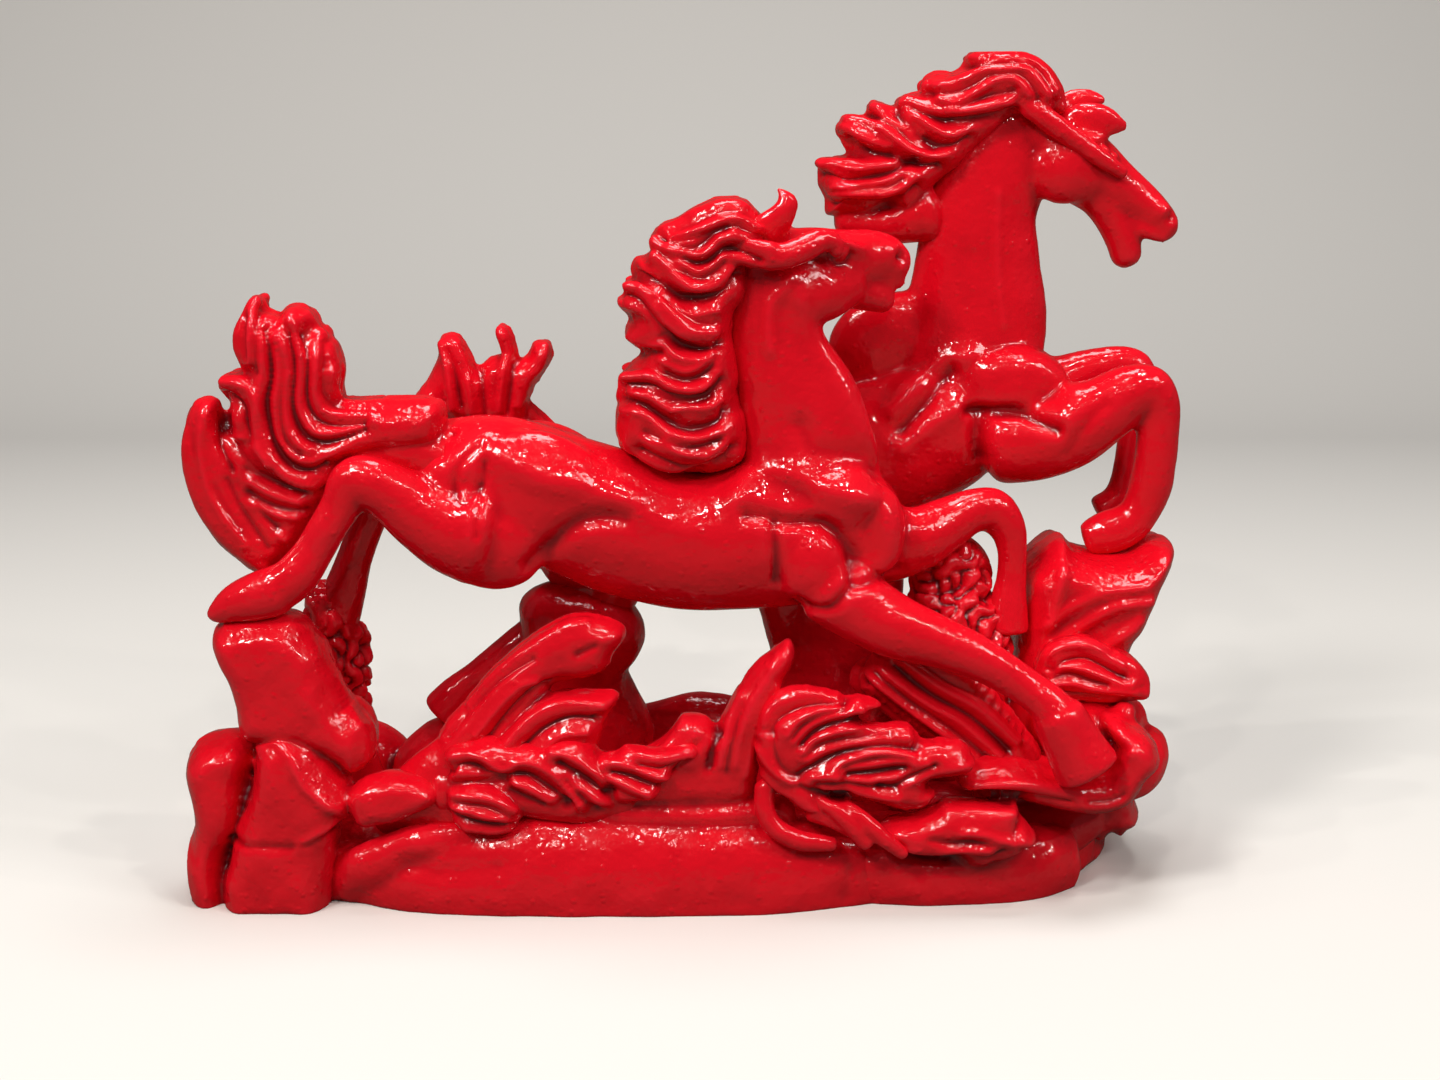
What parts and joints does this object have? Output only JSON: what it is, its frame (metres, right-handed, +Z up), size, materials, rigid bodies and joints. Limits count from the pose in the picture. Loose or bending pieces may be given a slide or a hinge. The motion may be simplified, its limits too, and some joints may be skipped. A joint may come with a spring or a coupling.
{
  "type": "horse sculpture",
  "caption": "Openwork resin ornament of galloping horses above rocks and wind-blown tufts, in one glossy red.",
  "frame": {"origin": "a point of the flat underside, near its middle", "axes": "+X the way the horses run, along the length; +Y away from the display side, across the depth; +Z up"},
  "size_m": [0.3908, 0.1285, 0.3248],
  "materials": {
    "horses": "glossy red enamel over cast resin",
    "hair": "glossy red enamel over combed locks",
    "rock": "glossy red enamel over rock relief",
    "tufts": "glossy red enamel over combed blades"
  },
  "bodies": {
    "root": {"front_torso": "horses", "rear_torso": "horses", "front_head": "horses", "rear_head": "horses", "front_near_hind_leg": "horses", "front_far_hind_leg": "horses", "front_near_foreleg": "horses", "front_far_foreleg": "horses", "rear_near_foreleg": "horses", "rear_far_foreleg": "horses", "rear_near_hind_leg": "horses", "rear_far_hind_leg": "horses", "front_mane": "hair", "rear_mane": "hair", "front_tail": "hair", "front_tail_skirt": "hair", "rear_tail": "hair", "back_hoof_boulder": "rock", "ground": "rock", "front_bank": "rock", "left_outer_boulder": "rock", "left_inner_boulder": "rock", "left_small_boulder": "rock", "left_pillar": "rock", "left_column": "rock", "left_rear_boulder": "rock", "back_left_boulder": "rock", "crest": "tufts", "left_tuft": "tufts", "middle_rock": "rock", "middle_column": "rock", "chest_column": "rock", "coral_rock": "rock", "fan_tuft": "tufts", "slope_tuft": "tufts", "right_ledge": "rock", "right_front_boulder": "rock", "right_corner_boulder": "rock", "right_inner_boulder": "rock", "right_cliff": "rock", "cliff_tuft": "tufts", "back_bank": "rock"}
  },
  "joints": []
}
